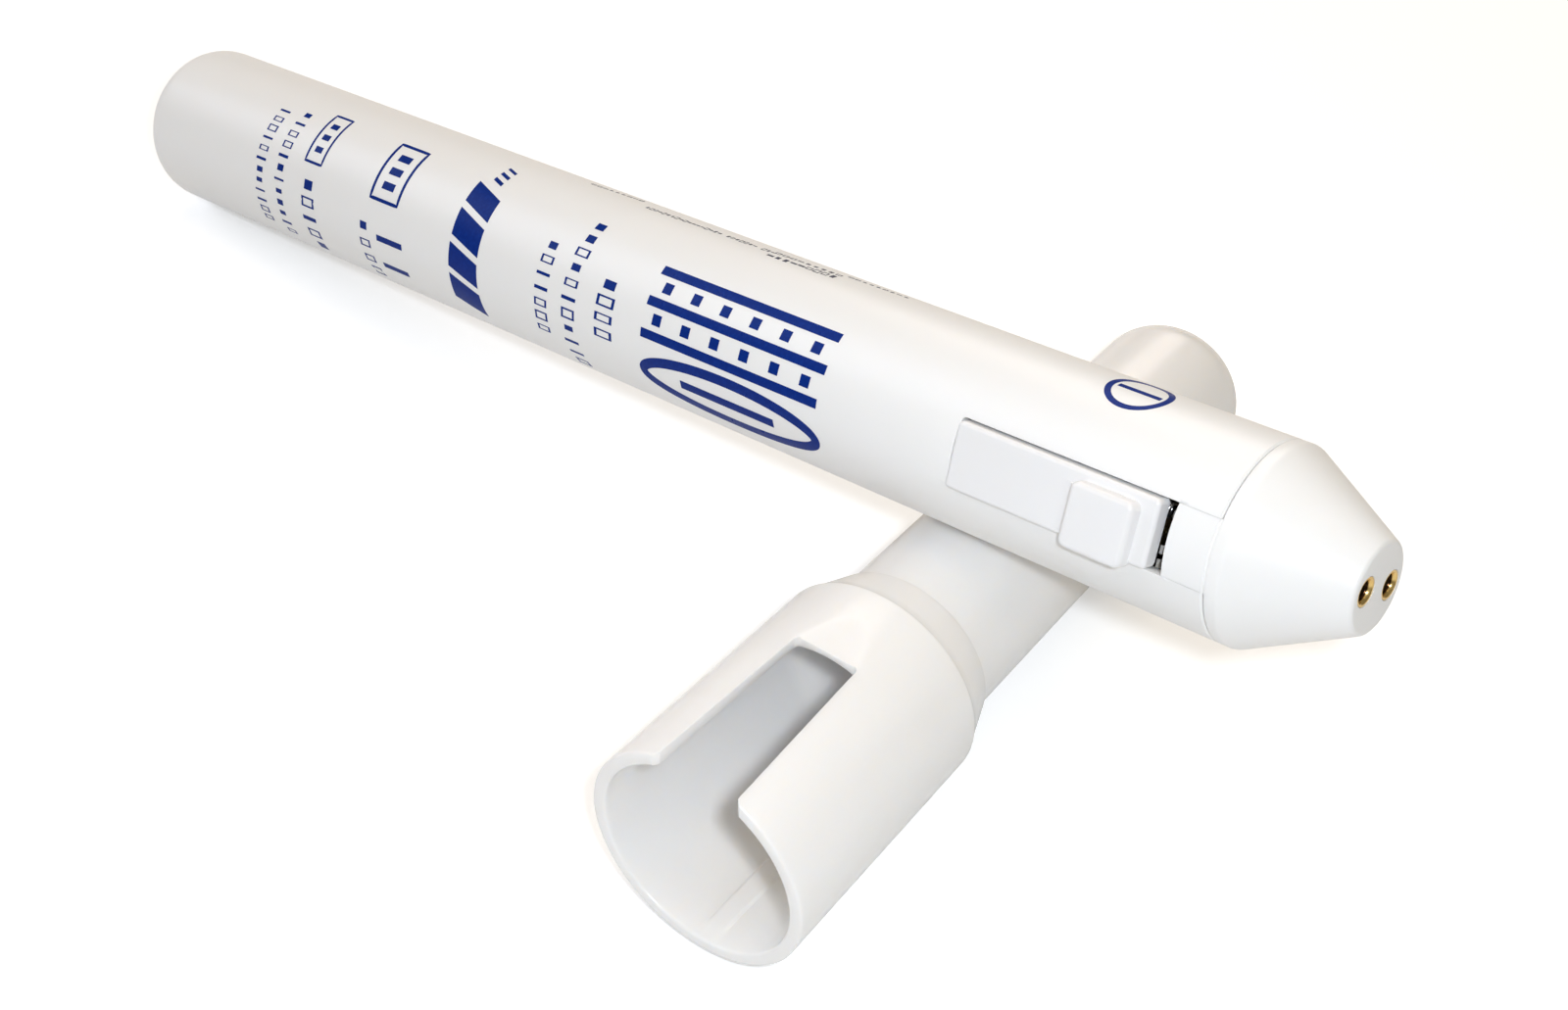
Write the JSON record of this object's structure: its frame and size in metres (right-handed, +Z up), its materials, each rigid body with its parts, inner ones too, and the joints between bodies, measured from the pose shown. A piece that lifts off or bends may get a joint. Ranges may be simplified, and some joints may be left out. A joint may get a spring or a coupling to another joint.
{
  "type": "battery cautery pen",
  "caption": "White pen-shaped battery cautery handle with a thumb slide switch and a socketed nose, resting across its slotted protective cap.",
  "frame": {"origin": "the table surface under the middle of the whole object's outline", "axes": "+Z up, +X the way the pen points over the table, +Y towards the cap's domed end"},
  "size_m": [0.158, 0.086, 0.0406],
  "materials": {
    "white_plastic": "satin moulded",
    "slider_plastic": "satin moulded",
    "cap_plastic": "glossy moulded",
    "frame_plastic": "matt",
    "cell_can": "printed sleeve",
    "nickel_steel": "nickel plated",
    "strip_brass": "rolled strip",
    "gold_plate": "gold plated"
  },
  "bodies": {
    "body": {"body_tube": "white_plastic", "cell_rear": "cell_can", "cell_front": "cell_can", "rear_contact_plate": "nickel_steel", "rear_spring": "nickel_steel", "return_strip": "strip_brass", "protective_cap": "cap_plastic"},
    "head": {"nose_cone": "white_plastic", "tip_socket_upper": "gold_plate", "tip_socket_lower": "gold_plate", "socket_clip_upper": "gold_plate", "socket_clip_lower": "gold_plate", "switch_frame": "frame_plastic", "positive_contact": "strip_brass", "front_contact_strap": "nickel_steel", "return_wiper": "strip_brass", "return_spring": "nickel_steel"},
    "slider": {"switch_slider": "slider_plastic", "contact_bridge": "strip_brass"}
  },
  "joints": [
    {"name": "head_pull", "type": "slide", "parent": "body", "child": "head", "axis": [0.9877, 0, 0.1563], "range_m": [0, 0.04]},
    {"name": "switch_slide", "type": "slide", "parent": "head", "child": "slider", "axis": [0.9877, 0, 0.1563], "range_m": [0, 0.0008], "stiffness_N_per_m": 120, "springref_m": -0.004, "deforming": ["return_spring"]}
  ]
}
